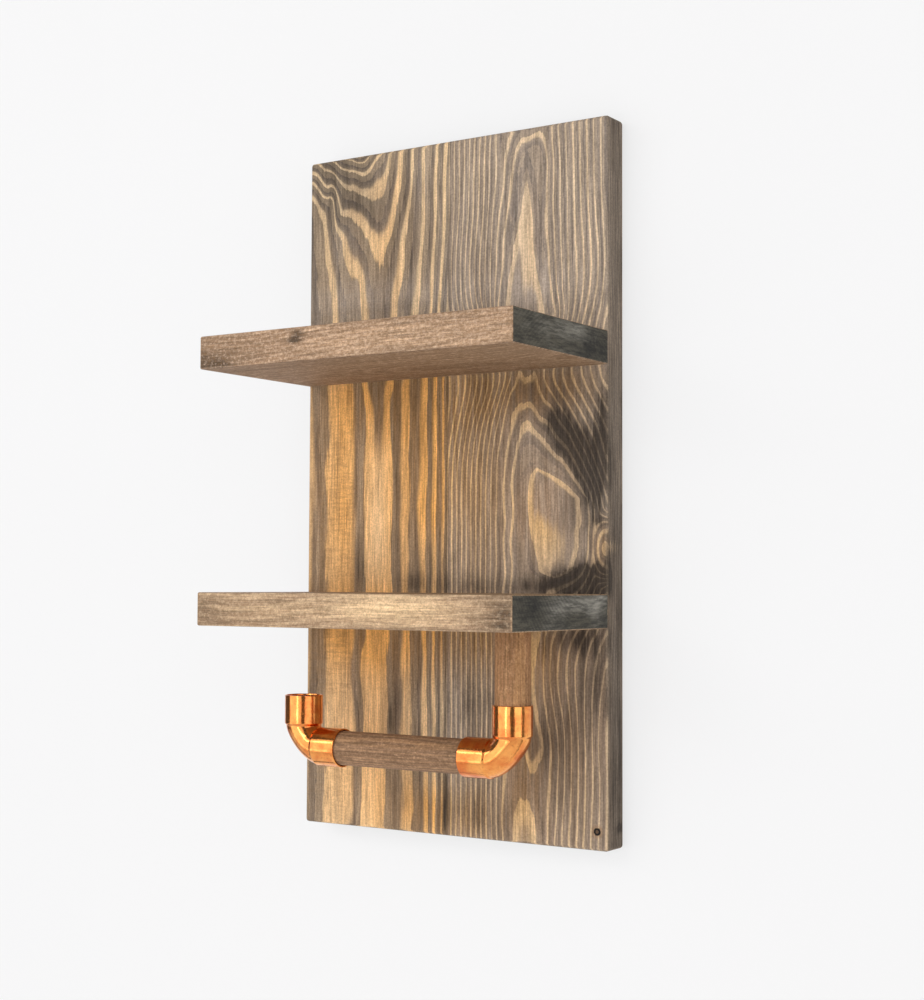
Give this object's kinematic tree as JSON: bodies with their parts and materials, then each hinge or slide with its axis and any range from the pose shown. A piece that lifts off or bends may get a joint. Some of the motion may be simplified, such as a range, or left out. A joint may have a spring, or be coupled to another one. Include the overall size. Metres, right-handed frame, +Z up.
{
  "type": "toilet paper holder",
  "caption": "Wall-hung stained pine toilet paper holder: shelves on a plank back board, and under them an L-shaped roll arm of dowel and copper pipe elbows with an upturned open end.",
  "frame": {"origin": "middle of the back board's back face, which lies flat on the wall", "axes": "+X to the right of a person who faces the holder, +Y into the wall, +Z up"},
  "size_m": [0.232, 0.1312, 0.45],
  "materials": {
    "stained_pine": "grey-brown stain rubbed into planed pine, matt, with pale grain lines",
    "stained_dowel": "reddish grey-brown stain on a turned dowel, matt",
    "copper": "bright bare copper, polished",
    "zinc_plated_steel": "zinc plated, satin"
  },
  "bodies": {
    "root": {"back_plank_left": "stained_pine", "back_plank_right": "stained_pine", "upper_shelf": "stained_pine", "lower_shelf": "stained_pine", "post_dowel": "stained_dowel", "bar_dowel": "stained_dowel", "corner_elbow": "copper", "end_elbow": "copper", "left_hanger_plate": "zinc_plated_steel", "right_hanger_plate": "zinc_plated_steel", "upper_shelf_screw_1": "zinc_plated_steel", "upper_shelf_screw_2": "zinc_plated_steel", "upper_shelf_screw_3": "zinc_plated_steel", "upper_shelf_screw_4": "zinc_plated_steel", "lower_shelf_screw_1": "zinc_plated_steel", "lower_shelf_screw_2": "zinc_plated_steel", "lower_shelf_screw_3": "zinc_plated_steel", "lower_shelf_screw_4": "zinc_plated_steel", "post_screw": "zinc_plated_steel", "left_hanger_lower_screw": "zinc_plated_steel", "left_hanger_upper_screw": "zinc_plated_steel", "right_hanger_lower_screw": "zinc_plated_steel", "right_hanger_upper_screw": "zinc_plated_steel"}
  },
  "joints": []
}
